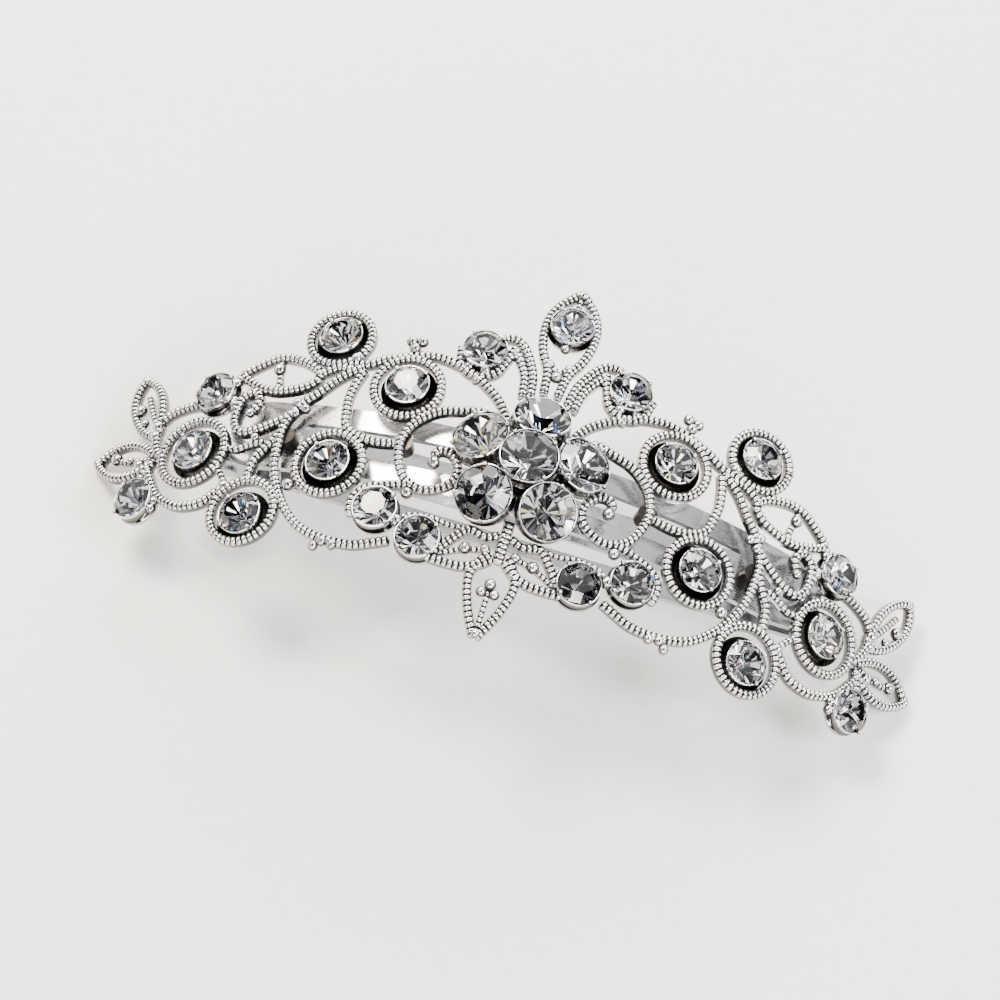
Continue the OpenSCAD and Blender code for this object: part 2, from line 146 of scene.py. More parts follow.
def fit(piece, slot, *cad_nodes, body="clip_frame"):
    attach(piece, body)
    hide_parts(*cad_nodes)
    return piece


# %% [markdown]
# ## Colours and node helpers
# Real finishes are easiest to pick as sRGB hex values, but shaders work in linear light,
# so one function converts them. One more function adds a node with its settings and links.

# %% Colour and node helpers
def linear(hex_colour):
    """An sRGB hex colour as linear red, green and blue, with an alpha of 1."""
    channels = [int(hex_colour[i:i + 2], 16) / 255 for i in (1, 3, 5)]
    return [c / 12.92 if c <= 0.04045 else ((c + 0.055) / 1.055) ** 2.4
            for c in channels] + [1.0]


def add_node(material, kind, settings=None, links=None, stops=(), **values):
    """Adds a node. settings are its own options, values its inputs, links its wired
    inputs, and stops the positions and colours of a colour ramp."""
    node = material.node_tree.nodes.new(kind)
    for key, value in (settings or {}).items():
        setattr(node, key, value)
    for key, value in values.items():
        node.inputs[key.replace("_", " ")].default_value = value
    for key, source in (links or {}).items():
        material.node_tree.links.new(source, node.inputs[key])
    for i, (position, colour) in enumerate(stops):
        elements = node.color_ramp.elements
        stop = elements[i] if i < len(elements) else elements.new(position)
        stop.position, stop.color = position, colour
    return node


def new_material(name):
    material = bpy.data.materials.new(name)
    material.use_nodes = True
    return material, material.node_tree.nodes["Principled BSDF"]


# %% [markdown]
# ## Bright rhodium plate
# The scrolls are cast white metal, copper-plated and finished with rhodium, which is a
# little darker and cooler than silver and never tarnishes. Painted shade darkens the grooves
# and sides, and painted highlight brightens the beaded ridges and plain backs. A number on
# each point mixes the two, a fine noise of 0.4 mm breaks up the mirror as the skin of a
# small casting does, and a faint cloud of 6 mm keeps the plate from looking all alike.

# %% Plated casting
# mid grey between the painted shade and the painted highlight
HALF_LIT = "#5d5c59"
CLOUD_MM, CLOUD_SHARE = 6.0, 0.12
SKIN_RELIEF_MM = 0.05


def plated_metal(name, bright, dark, roughness, skin_mm, bump):
    """Polished plating with painted shade in its grooves, painted highlight on its ridges, and the
    skin of a small casting.
    """
    material, shader = new_material(name)
    shader.inputs["Metallic"].default_value = 1.0
    place = add_node(material, "ShaderNodeTexCoord")
    wear = add_node(material, "ShaderNodeAttribute", {"attribute_name": "wear"})
    skin = add_node(material, "ShaderNodeTexNoise", links={"Vector": place.outputs["Object"]},
                    Scale=1 / (skin_mm * MM), Detail=3.0, Roughness=0.6)
    cloud = add_node(material, "ShaderNodeTexNoise", links={"Vector": place.outputs["Object"]},
                     Scale=1 / (CLOUD_MM * MM), Detail=2.0)
    # painted light and shade: dark in grooves and recesses, bright on ridges
    colour = add_node(material, "ShaderNodeValToRGB", links={"Fac": wear.outputs["Fac"]},
                      stops=[(0.3, linear(dark)), (0.55, linear(HALF_LIT)),
                             (0.92, linear(bright))])
    tint = add_node(material, "ShaderNodeMix", {"data_type": "RGBA", "blend_type": "MULTIPLY"},
                    links={"A": colour.outputs["Color"], "B": cloud.outputs["Color"]},
                    Factor=CLOUD_SHARE)
    gloss = add_node(material, "ShaderNodeMapRange", links={"Value": skin.outputs["Fac"]},
                     To_Min=roughness * 0.6, To_Max=roughness * 1.5)
    relief = add_node(material, "ShaderNodeBump", links={"Height": skin.outputs["Fac"]},
                      Strength=bump, Distance=SKIN_RELIEF_MM * MM)
    link = material.node_tree.links.new
    link(tint.outputs["Result"], shader.inputs["Base Color"])
    link(gloss.outputs["Result"], shader.inputs["Roughness"])
    link(relief.outputs["Normal"], shader.inputs["Normal"])
    return material


rhodium_casting = plated_metal("rhodium_plated_casting", "#cfcfd0", "#100f0e", 0.13, 0.4, 0.35)
rhodium_cup = plated_metal("rhodium_plated_cup", "#dcdcde", "#1c1b19", 0.14, 0.8, 0.04)

# %% [markdown]
# ## Brushed and spring steel
# The clip is stamped from nickel-plated steel strip. Rolling leaves fine scratches along
# the strip, so the noise is stretched 40 times along X. Scratches of 0.03 mm would vanish
# at this size, so they are drawn 0.15 mm apart.

# %% Nickel-plated strip
HANDLING_MM = 9.0
HANDLED_SHADE = 0.85
SCRATCH_RELIEF_MM = 0.02


def strip_metal(name, colour_hex, roughness, stretch=40.0, scratch_mm=0.15):
    material, shader = new_material(name)
    shader.inputs["Metallic"].default_value = 1.0
    place = add_node(material, "ShaderNodeTexCoord")
    lengthwise = add_node(material, "ShaderNodeMapping",
                          links={"Vector": place.outputs["Object"]}, Scale=(1 / stretch, 1, 1))
    scratches = add_node(material, "ShaderNodeTexNoise",
                         links={"Vector": lengthwise.outputs["Vector"]},
                         Scale=1 / (scratch_mm * MM), Detail=4.0)
    handling = add_node(material, "ShaderNodeTexNoise", links={"Vector": place.outputs["Object"]},
                        Scale=1 / (HANDLING_MM * MM), Detail=3.0)
    handled = [HANDLED_SHADE * c for c in linear(colour_hex)[:3]] + [1.0]
    colour = add_node(material, "ShaderNodeValToRGB", links={"Fac": handling.outputs["Fac"]},
                      stops=[(0.3, linear(colour_hex)), (0.75, handled)])
    gloss = add_node(material, "ShaderNodeMapRange", links={"Value": scratches.outputs["Fac"]},
                     To_Min=roughness * 0.6, To_Max=roughness * 1.6)
    relief = add_node(material, "ShaderNodeBump", links={"Height": scratches.outputs["Fac"]},
                      Strength=0.12, Distance=SCRATCH_RELIEF_MM * MM)
    link = material.node_tree.links.new
    link(colour.outputs["Color"], shader.inputs["Base Color"])
    link(gloss.outputs["Result"], shader.inputs["Roughness"])
    link(relief.outputs["Normal"], shader.inputs["Normal"])
    return material


nickel_strip = strip_metal("nickel_plated_steel_strip", "#c4c5c8", 0.22)
spring_strip = strip_metal("spring_steel_strip", "#cfd0d3", 0.16)
turned_pin = strip_metal("nickel_plated_pin", "#d2d2d5", 0.12, stretch=1.0, scratch_mm=0.3)
silver_solder = plated_metal("silver_solder", "#a9a8a6", "#3a3835", 0.34, 0.7, 0.6)

# %% [markdown]
# ## Crystal and foil
# A rhinestone is clear lead glass with a silver foil behind its lower facets. The foil
# sends light back through the facets, so neighbouring facets flash white, grey and black.
# The crown is glass with an index of 1.56, and the lower facets are a thin mirror with
# painted reflections: each gets a grey from white to near black. Lead glass splits colours,
# which a path tracer doesn't show, so a few of the slim crown facets get painted colour
# flashes. A colour stored on each face, called flash, does both.

# %% Lead crystal and its foil
LEAD_GLASS_IOR = 1.56
POLISH_MM, POLISH_RELIEF_MM = 1.5, 0.02


def crystal_glass():
    material, shader = new_material("lead_crystal")
    shader.inputs["Roughness"].default_value = 0.0
    shader.inputs["IOR"].default_value = LEAD_GLASS_IOR
    shader.inputs["Transmission Weight"].default_value = 1.0
    place = add_node(material, "ShaderNodeTexCoord")
    polish = add_node(material, "ShaderNodeTexNoise", links={"Vector": place.outputs["Object"]},
                      Scale=1 / (POLISH_MM * MM), Detail=1.0)
    relief = add_node(material, "ShaderNodeBump", links={"Height": polish.outputs["Fac"]},
                      Strength=0.03, Distance=POLISH_RELIEF_MM * MM)
    # painted colour flashes on a few slim crown facets, clear glass on the rest
    flash = add_node(material, "ShaderNodeAttribute", {"attribute_name": "flash"})
    material.node_tree.links.new(flash.outputs["Color"], shader.inputs["Base Color"])
    material.node_tree.links.new(relief.outputs["Normal"], shader.inputs["Normal"])
    return material


def foil_back():
    material, shader = new_material("silver_foil_back")
    shader.inputs["Metallic"].default_value = 1.0
    shader.inputs["Roughness"].default_value = 0.06
    # painted reflection: each foil facet's grey comes from the flash colour
    flash = add_node(material, "ShaderNodeAttribute", {"attribute_name": "flash"})
    material.node_tree.links.new(flash.outputs["Color"], shader.inputs["Base Color"])
    return material


lead_crystal = crystal_glass()
silver_foil = foil_back()

# %% [markdown]
# ## Cast wire with a milgrain edge
# Each scroll is a flat-backed strip 1.3 mm wide whose top is a row of tiny cross ridges,
# which jewellers call milgrain. A bevelled curve can't ripple, so the strip is swept by
# hand: the route is smoothed, walked at a sixth of the ridge spacing, and each step adds a
# nine-point section whose top rises and falls. An open end is drawn in over two steps.

# %% Sweeping a milgrain wire
WIRE_WIDTH = 1.3
WIRE_HEIGHT = 1.5
RIDGE_PITCH = 0.72
STEPS_PER_RIDGE = 6
END_SHARE, SHARE_PER_STEP = 0.45, 0.35


def smooth(points, steps=12):
    """A Catmull-Rom route through [s, t] or [s, t, h] points."""
    p = [list(q) + [0.0] * (3 - len(q)) for q in points]
    closed = len(p) > 3 and p[0] == p[-1]
    out = []
    for i in range(len(p) - 1):
        a = p[i - 1] if i else (p[-2] if closed else p[0])
        b, c = p[i], p[i + 1]
        d = p[i + 2] if i + 2 < len(p) else (p[1] if closed else p[-1])
        for j in range(steps):
            u = j / steps
            out.append([0.5 * (2 * b[k] + (c[k] - a[k]) * u
                               + (2 * a[k] - 5 * b[k] + 4 * c[k] - d[k]) * u * u
                               + (3 * b[k] - a[k] - 3 * c[k] + d[k]) * u ** 3) for k in range(3)])
    return out + [p[-1]]


def walk(points, step):
    """The same route at even steps."""
    lengths = [0.0]
    for a, b in zip(points, points[1:]):
        lengths.append(lengths[-1] + math.dist(a, b))
    count = max(2, round(lengths[-1] / step))
    out, i = [], 0
    for n in range(count + 1):
        want = lengths[-1] * n / count
        while i < len(points) - 2 and lengths[i + 1] < want:
            i += 1
        share = (want - lengths[i]) / max(lengths[i + 1] - lengths[i], 1e-9)
        out.append([a + (b - a) * share for a, b in zip(points[i], points[i + 1])])
    return out


def wire(shape, points, side=1, width=WIRE_WIDTH, height=WIRE_HEIGHT):
    """Sweeps one milgrain wire. side is -1 for the left half of the ornament."""
    route = walk(smooth(points), RIDGE_PITCH / STEPS_PER_RIDGE)
    spots = [on_panel(side * s, t, h) for s, t, h in route]
    closed = math.dist(points[0], points[-1]) < 0.01
    last = len(route) - 1
    ring_points, wear = [], []
    for i, (s, t, h) in enumerate(route):
        before = spots[i - 1] if i else (spots[-2] if closed else spots[0])
        after = spots[i + 1] if i < last else (spots[1] if closed else spots[-1])
        up = panel_normal(side * s, t)
        across = up.cross(after - before).normalized()
        phase = (i / STEPS_PER_RIDGE + 0.5) % 1.0 - 0.5
        crest = math.sqrt(max(0.0, 1 - 4 * phase * phase))
        full = 0.8 + 0.2 * crest
        taper = 1.0 if closed else min(1.0, END_SHARE + SHARE_PER_STEP * min(i, last - i))
        shoulder, brow = 0.54 + 0.08 * crest, 0.62 + 0.27 * crest
        # The third number is painted light: painted highlight on each crest and the back, painted
        # shade on the sides and between ridges.
        section = [(-0.44, 0.0, 0.85), (-0.42, 0.48, 0.3), (-0.5 * full, shoulder, crest),
                   (-0.34 * full, brow, crest), (0.0, 0.66 + 0.34 * crest, crest),
                   (0.34 * full, brow, crest), (0.5 * full, shoulder, crest),
                   (0.42, 0.48, 0.3), (0.44, 0.0, 0.85)]
        for b, n, w in section:
            out = across * b * width * taper + up * n * height * taper
            ring_points.append(spots[i] + out * MM)
            wear.append(w)
    k = len(section)
    faces = [[i * k + j, i * k + (j + 1) % k, (i + 1) * k + (j + 1) % k, (i + 1) * k + j]
             for i in range(last) for j in range(k)]
    if not closed:
        faces += [list(range(k))[::-1], [last * k + j for j in range(k)]]
    shape.add(ring_points, faces, wear)


def circle(s, t, r, steps=16):
    ring = [[s + r * math.cos(math.tau * i / steps), t + r * math.sin(math.tau * i / steps)]
            for i in range(steps)]
    return ring + [ring[0]]


# %% [markdown]
# Small round grains, alone or in threes, fill the corners. A ball of eight rows and twelve
# columns is round enough at 1.5 mm across.

# %% Grains
def ball(shape, centre, r, axis=Vector((0, 0, 1)), stretch=1.0, rows=8, columns=12):
    turn = axis.to_track_quat("Z", "Y").to_matrix()
    points, wear = [], []
    for i in range(rows + 1):
        a = math.pi * i / rows
        for j in range(columns):
            b = math.tau * j / columns
            points.append(centre + turn @ Vector((r * math.sin(a) * math.cos(b),
                                                  r * math.sin(a) * math.sin(b),
                                                  r * stretch * math.cos(a))) * MM)
            # painted light: bright at the top and bottom, painted shade round the sides
            wear.append(0.4 + 0.6 * abs(math.cos(a)))
    faces = [[i * columns + j, (i + 1) * columns + j, (i + 1) * columns + (j + 1) % columns,
              i * columns + (j + 1) % columns] for i in range(rows) for j in range(columns)]
    shape.add(points, faces, wear)


def grain(shape, s, t, r, side=1, h=0.9):
    ball(shape, on_panel(side * s, t, h), r, panel_normal(side * s, t))


# %% [markdown]
# ## The scrolls
# The left half is the mirror of the right one, so each route is written once, for the
# right half, and swept with side = 1 and side = -1. Each list reads as s, t pairs in mm.

# %% Inner wings
INNER_WIRES = [
    [[4, 5.6], [5.8, 8.6], [8.3, 10.7], [10.8, 12.2], [13.8, 13.2], [16.5, 13.4], [21.3, 12],
     [23.8, 10.7], [26.7, 10]],
    circle(18, 8, 4.4),
    circle(24.8, -4.8, 4.4),
    [[5.5, 5.5], [7.5, 6.6], [10, 6.2], [12.9, 5.3], [15.2, 3.4], [16.3, 1.3], [16.5, -0.8],
     [15.8, -3.3], [14.4, -5.3], [12, -6.2], [9.6, -5.3], [8.3, -3.7], [8.5, -1.8], [9.8, -0.3],
     [11.3, -0.3], [11.9, -1.4]],
    [[24.4, 10.1], [27.1, 8], [29.2, 5.5], [31, 3.5], [32.5, 0.5], [32.5, -2.8], [31.9, -6.2],
     [30.6, -9.1], [29, -11.4], [26.7, -13.7], [24.2, -14.9], [21.3, -15.5], [18.3, -15.5],
     [15.8, -14.7], [13.8, -13.9]],
    [[24.2, 9.7], [24.8, 7.6], [25.1, 5.1], [24.8, 3], [24.2, 0.9], [22.5, -0.3], [20, -0.8],
     [17, -0.5]],
    [[13.5, -5.8], [16.7, -6.6], [19, -7.6], [20.2, -9.4], [19.9, -11.6]]]
INNER_GRAINS = [[11.5, -2.2, 0.85], [29.1, -8.7, 0.85], [18.8, -8.3, 0.8],
                [19.4, 15.1, 0.8], [18, 15.3, 0.8], [18.7, 14.1, 0.8], [23.1, -16.6, 0.7],
                [22.2, -15.8, 0.7], [20.8, -16.1, 0.7], [13.6, -7.2, 0.8], [25.9, 11.2, 0.8]]


STRUT_SECTION = (0.9, 1.1)


def casting(name, side, wires, struts, grains, cad_node):
    shape = Shape()
    for route in wires:
        wire(shape, route, side)
    for route in struts:
        wire(shape, route, side, *STRUT_SECTION)
    for s, t, r in grains:
        grain(shape, s, t, r, side)
    piece = shape.piece(name, [rhodium_casting])
    print(name, len(shape.points), "points")
    return fit(piece, "plated_casting", cad_node)


for side, hand in ((-1, "left"), (1, "right")):
    casting(f"inner_scrolls_{hand}", side, INNER_WIRES, [], INNER_GRAINS,
            f"{hand}_inner_wing")

# %% [markdown]
# The outer scrolls are a second casting, soldered to the first where the two cross. Thin
# struts are cast in with them to carry the beads and to tie the rings together.

# %% Outer wings
OUTER_WIRES = [
    circle(29, 14.2, 4.2),
    [[30, 7.6], [31.2, 9.2], [34.2, 10.3], [36.7, 10.3], [39.2, 9], [41, 7.4], [39.2, 6.1],
     [36.7, 5.2], [34.2, 5.2], [31.4, 6.1], [30, 7.6]],
    [[25.6, 9.3], [27.5, 9.6], [29.3, 8.7], [30.2, 8]],
    [[41, 7.4], [42, 6], [42.4, 4.6], [41, 3.2], [40.4, 1.6]],
    [[37.9, 1.7], [37.3, 3.4], [38.3, 4.7], [39.8, 3.8], [40.2, 2.2], [40, 0.1], [38.7, -1.4],
     [36.7, -1.2], [34.2, 0.1], [32.1, 1.7], [30.8, 3.6]],
    [[51.7, 0.2], [50.4, 1.5], [47.9, 2.4], [45.4, 2.8], [42.8, 3.4], [40.6, 2.8]],
    circle(44.7, -4.6, 4.7),
    [[49.4, -5.4], [50.6, -4.4], [51.6, -2.4], [51.7, -0.2]],
    [[51.2, -7.2], [49.8, -9.2], [47.9, -11.2], [45.4, -12.4], [43.3, -12.7], [40.8, -12.2],
     [38.8, -10.4], [37.4, -9.4]],
    circle(34.3, -12.9, 4.4),
    [[35.3, -8.5], [35.2, -6.5], [34.9, -5], [34, -3.5], [32.8, -1.4]]]
OUTER_STRUTS = [
    [[36.2, 10.1], [36.1, 8.4], [35.6, 6.8], [35.6, 5.4]],
    [[40.4, -3.6], [38.4, -4], [36.6, -3.2], [34.4, -2.6]],
    [[40.6, -6.4], [39.2, -8], [38, -9.6]]]
OUTER_GRAINS = [[36, 8.4, 0.85], [31.7, 3.4, 0.7], [31.5, 1.8, 0.7], [30.3, 2.6, 0.7],
                [48.9, -12.5, 0.7], [48, -13.1, 0.7], [48, -12, 0.7], [51.9, -0.5, 0.85],
                [38, -9.6, 0.8], [41.6, 6, 0.75], [36, -2.2, 0.6], [38, 1.4, 0.65]]
for side, hand in ((-1, "left"), (1, "right")):
    casting(f"outer_scrolls_{hand}", side, OUTER_WIRES, OUTER_STRUTS, OUTER_GRAINS,
            f"{hand}_outer_wing")

# %% [markdown]
# Two narrow leaves end each side, one rising and one pointing outwards. Each is a pair of
# bent edge wires with a thin vein between them and a grain at its tip.

# %% Leaves at the two ends
TIP_WIRES = [
    [[51.6, -1.6], [52.2, 1.2], [53.2, 3.9], [55, 6.2], [57.6, 7.8]],
    [[51.8, -2.2], [54.2, -1.2], [56.3, 0.6], [57.8, 3], [58.2, 5.4], [57.6, 7.8]],
    [[50.8, -5], [53.2, -3.6], [56, -3], [58.6, -3.6], [61, -5.4]],
    [[50.8, -6], [53.2, -7.6], [56, -8], [58.6, -7.2], [61, -5.4]],
    [[50.6, -5.6], [51.4, -7.4], [52, -9.2]]]
TIP_STRUTS = [[[52.2, -0.6], [54.2, 2], [56, 4.8]], [[51.4, -5.4], [54.4, -5.6], [56.8, -5.4]]]
TIP_GRAINS = [[56.2, 2.4, 0.85], [54.6, 0.2, 0.6], [57.2, -5.2, 0.85], [54.6, -5.6, 0.6],
              [51.8, -2, 0.8], [52.8, -6.4, 0.7], [57.4, 7.4, 0.7], [60.8, -5.4, 0.7]]
for side, hand in ((-1, "left"), (1, "right")):
    casting(f"end_leaves_{hand}", side, TIP_WIRES, TIP_STRUTS, TIP_GRAINS, f"{hand}_tip_leaves")

# %% [markdown]
# The spray over the flower and the drop below it stand on the middle line, so each is one
# casting whose two halves are swept together. Their veins and short ties are slimmer wires.

# %% Spray and drop
SPRAY_WIRES = [
    [[0.9, 11.6], [1.4, 15.5], [2.6, 18], [3.3, 20.9], [3.2, 23.8], [2.2, 26.3], [0.2, 28.8]],
    [[2.4, 10.6], [2.9, 13.8], [4, 16.3], [5.4, 18.3], [6.9, 18.9], [8.2, 18.4]],
    [[3.4, 10.2], [3.9, 13.4], [5, 15.6], [6.2, 17.2]],
    [[12.9, 15.9], [12.1, 12.9], [10, 11.8], [7.6, 12.9], [6.6, 15.5], [6, 17.5]],
    [[10, 11.8], [9.6, 10.9]]]
SPRAY_GRAINS = [[9, 12.9, 0.8], [11.2, 12.9, 0.7], [1.2, 16.4, 0.6]]
SPRAY_MIDDLE = [[0, 28.6, 0.75], [0, 19.3, 0.7], [0, 14.6, 0.8]]
DROP_WIRES = [
    [[0.6, -9.6], [2.4, -10.4], [4.6, -10], [6.2, -11.6], [7.4, -13.2], [8.6, -14.8],
     [6.3, -15.1], [4.2, -15], [2.2, -14.2], [0.8, -13]],
    [[1.2, -12.2], [2.6, -14.6], [2.9, -16.4], [2.3, -18.9], [1.3, -21.4], [0.2, -23.5]]]
DROP_STRUTS = [[[1.2, -11.9], [4.4, -12.6], [7.6, -14.1]],
               [[4.6, -9.8], [7.2, -10], [9.6, -9.6], [12.4, -9.9], [13.6, -10.8]]]
DROP_GRAINS = [[4.4, -12.6, 0.85], [2, -12, 0.7], [0.85, -17.6, 0.7], [13.8, -11.2, 0.9]]
DROP_MIDDLE = [[0, -16.4, 0.8], [0, -23, 0.7]]
VEIN_SECTION = (0.8, 1.0)


def middle_casting(name, wires, veins, grains, middle_grains, struts, cad_node):
    shape = Shape()
    for side in (-1, 1):
        for route in wires:
            wire(shape, route, side)
        for route in veins:
            wire(shape, route, side, *VEIN_SECTION)
        for s, t, r in grains:
            grain(shape, s, t, r, side)
    for s, t, r in middle_grains:
        grain(shape, s, t, r)
    for route, width, height in struts:
        wire(shape, route, 1, width, height)
    return fit(shape.piece(name, [rhodium_casting]), "plated_casting", cad_node)


middle_casting("spray_over_flower", SPRAY_WIRES, [], SPRAY_GRAINS, SPRAY_MIDDLE,
               [([[0, 25.4], [0, 27], [0, 28.6]], 0.8, 1.2),
                ([[-1.2, 16.2], [0, 15.8], [1.2, 16.2]], 0.9, 1.0)], "centre_spray")
middle_casting("drop_under_flower", DROP_WIRES, DROP_STRUTS, DROP_GRAINS, DROP_MIDDLE,
               [([[0, -7.4], [0, -10], [0, -13.4]], 1.6, 1.3),
                ([[0, -15.4], [0, -19], [0, -22.8]], 0.8, 1.0)], "pendant_leaves")

# %% [markdown]
# ## Where the crystals sit
# Ten small crystals lie in each half, one in the leaf over the flower, five big ones lean
# outwards as petals, and one stands higher in the middle. Each place is a matrix whose
# origin is the middle of the crystal's girdle, its widest line.

# %% Crystal places
SCROLL_PLACES = {"tip": (50.9, -11.9), "curl": (43.9, 4.2), "swirl": (44.1, -4.8),
                 "low_ring": (33.9, -13.7), "upper_ring": (28.7, 14), "mid_ring": (17.8, 7.8),
                 "inner_ring": (24.6, -5), "lower_outer": (16.7, -10.3),
                 "lower_inner": (10.4, -13), "spray": (9.7, 15.6)}
PETAL_PLACES = {"top": 90, "left_upper": 162, "left_lower": 234, "right_lower": 306,
                "right_upper": 18}
LEAF_CRYSTAL_T = 22.6
SMALL_TABLE, PETAL_TABLE = 3.0, 4.5
SMALL_GIRDLE = SMALL_TABLE - CROWN_PART * SMALL_STONE
PETAL_GIRDLE = PETAL_TABLE - CROWN_PART * FLOWER_STONE
PETAL_REACH, PETAL_LEAN = 7, 20


def petal_matrix(direction):
    a = math.radians(direction)
    return (panel_matrix(PETAL_REACH * math.cos(a), PETAL_REACH * math.sin(a), PETAL_GIRDLE)
            @ Matrix.Rotation(a, 4, "Z") @ Matrix.Rotation(math.radians(PETAL_LEAN), 4, "Y"))


places = {f"crystal_{hand}_{name}": (panel_matrix(side * s, t, SMALL_GIRDLE), SMALL_STONE)
          for side, hand in ((-1, "left"), (1, "right")) for name, (s, t) in SCROLL_PLACES.items()}
places |= {f"crystal_petal_{name}": (petal_matrix(a), FLOWER_STONE)
           for name, a in PETAL_PLACES.items()}
places["crystal_flower_centre"] = (panel_matrix(0, 0, CORE_GIRDLE), FLOWER_STONE)
places["crystal_leaf"] = (panel_matrix(0, LEAF_CRYSTAL_T, SMALL_GIRDLE), SMALL_STONE)
print(len(places), "crystals")

# %% [markdown]
# ## Cutting a crystal
# The crown of a rhinestone is simpler than a diamond's: an eight-sided table, eight broad
# facets and eight slim ones between them. Underneath, sixteen wedges run to a point, which
# gives the pie pattern that shows through the table. Facets must stay flat and sharp, so
# the mesh isn't smoothed. A Bevel modifier would round the meets, which real stones keep
# crisp.

# %% Faceted crystals
# Painted reflections: each foil facet gets one of these greys, and a few slim crown facets one of
# the painted colour flashes.
PAINTED_FACET_GREYS = ["#ffffff", "#ffffff", "#f4f4f6", "#fbf6ec", "#8b8e94", "#3e4045"]
FLASH_TINTS = ["#2f6bff", "#ff9a4a", "#ffb3c4", "#6fd0ff", "#ffe680"]
CLEAR_GLASS = "#fbfcff"
FLASH_SHARE = 0.16
SLIM_HALF_ANGLE = 7.5
TABLE_PART, EDGE_PART = 0.6, 0.02
chance = random.Random(27)


def spot(radius, degrees, z):
    a = math.radians(degrees)
    return Vector((radius * math.cos(a), radius * math.sin(a), z))


def cut_crystal(name, matrix, diameter):
    r = diameter / 2
    rise, depth, edge = (part * diameter for part in (CROWN_PART, PAVILION_PART, EDGE_PART))
    corners = [45 * i + turn for i in range(8) for turn in (-SLIM_HALF_ANGLE, SLIM_HALF_ANGLE)]
    table = [spot(TABLE_PART * r, 45 * i, rise) for i in range(8)]
    upper = [spot(r, a, edge) for a in corners]
    lower = [spot(r, a, 0) for a in corners]
    crown, foil = [list(range(8))], []
    for i in range(8):
        j = (i + 1) % 8
        crown += [[i, 8 + 2 * i, 8 + 2 * i + 1], [i, 8 + 2 * i + 1, 8 + 2 * j, j]]
    for i in range(16):
        crown.append([8 + i, 24 + i, 24 + (i + 1) % 16, 8 + (i + 1) % 16])
        foil.append([40, 24 + (i + 1) % 16, 24 + i])
    turn = matrix @ Matrix.Scale(MM, 4) @ Matrix.Rotation(chance.uniform(0, math.pi / 4), 4, "Z")
    shape = Shape()
    shape.add([turn @ p for p in table + upper + lower + [Vector((0, 0, -depth))]], crown)
    shape.add([], [[i - len(shape.points) for i in face] for face in foil], slot=1)
    piece = shape.piece(name, [lead_crystal, silver_foil], smooth=False)
    tint = piece.data.attributes.new("flash", "FLOAT_COLOR", "FACE")
    for polygon in piece.data.polygons:
        slim = polygon.material_index == 0 and len(polygon.vertices) == 3
        # foil facets get painted reflections, a few slim crown facets painted colour flashes
        hue = chance.choice(PAINTED_FACET_GREYS) if polygon.material_index else CLEAR_GLASS
        if slim and chance.random() < FLASH_SHARE:
            hue = chance.choice(FLASH_TINTS)
        tint.data[polygon.index].color = linear(hue)
    return piece


for cad_node, (matrix, diameter) in places.items():
    stone = cut_crystal(cad_node.replace("crystal", "rhinestone"), matrix, diameter)
    fit(stone, "crystal", cad_node)

# %% [markdown]
# ## Cups
# Each crystal sits in a cup with a thin rim, held by four round grains pushed over its
# edge. The cup is a turned profile: the same list of radius, height and painted light
# values at every angle. The inside gets painted shade, so it stays dark and frames the
# stone. Only the crystals that stand inside a ring or a swirl keep the wide flange of the cup.

# %% Turned cups
def turned(shape, matrix, profile, segments=40):
    count = len(profile)
    points, wear = [], []
    for i in range(segments):
        a = math.tau * i / segments
        # the third number of each profile row is its painted light
        for r, z, w in profile:
            points.append(matrix @ (Vector((r * math.cos(a), r * math.sin(a), z)) * MM))
            wear.append(w)
    faces = [[i * count + j, ((i + 1) % segments) * count + j,
              ((i + 1) % segments) * count + j + 1, i * count + j + 1]
             for i in range(segments) for j in range(count - 1)]
    shape.add(points, faces, wear)


CUP_WALL, CUP_FLOOR = 0.4, 0.6
FLANGE_LOW, FLANGE_TOP, FLANGE_WIDTH = -1.95, -1.5, 0.6
CLAW_RADIUS = 0.3


def cup(shape, matrix, diameter, foot, flange):
    """One cup and its four grains. foot is its bottom's share of the stone's radius, and
    flange is how far its plate sticks out, in mm."""
    r, deep = diameter / 2, PAVILION_PART * diameter
    # The third number is painted light: painted shade inside the cup and under the rim, bright on
    # the rim, flange and foot.
    turned(shape, matrix, [
        (0.001, -deep - CUP_FLOOR, 0.9), (foot * r, -deep - CUP_FLOOR, 0.9),
        (foot * r + 0.1, -deep - 0.5, 0.9), ((foot * r + r + CUP_WALL) / 2, FLANGE_LOW, 0.85),
        (r + CUP_WALL + flange, FLANGE_LOW, 0.85), (r + CUP_WALL + flange, FLANGE_TOP, 0.7),
        (r + 0.2, -1.45, 0.45), (r + 0.2, -0.5, 0.6),
        (r + 0.25, -0.1, 1.0), (r + 0.22, 0.08, 1.0), (r + 0.13, 0.12, 1.0), (r + 0.06, 0.08, 0.8),
        (r + 0.04, -0.04, 0.3), (r + 0.03, -0.24, 0.1), (r - 0.25, -0.26, 0.0),
        (0.12 * r + 0.3, -deep - 0.08, 0.0), (0.001, -deep - 0.08, 0.0)])
    for i in range(4):
        a = math.radians(45 + 90 * i)
        axis = Vector((math.cos(a), math.sin(a), 0))
        lean = (matrix.to_3x3() @ Vector((-0.5 * axis.x, -0.5 * axis.y, 1))).normalized()
        claw = matrix @ ((axis * (r + 0.16) + Vector((0, 0, 0.22))) * MM)
        ball(shape, claw, CLAW_RADIUS, lean, 1.2)


def cup_group(wanted):
    shape = Shape()
    for name in wanted:
        foot = 0.3 if "centre" in name else 0.45 if "petal" in name else 0.72
        flange = FLANGE_WIDTH if "ring" in name or "swirl" in name else 0.0
        cup(shape, *places[name], foot, flange)
    return shape


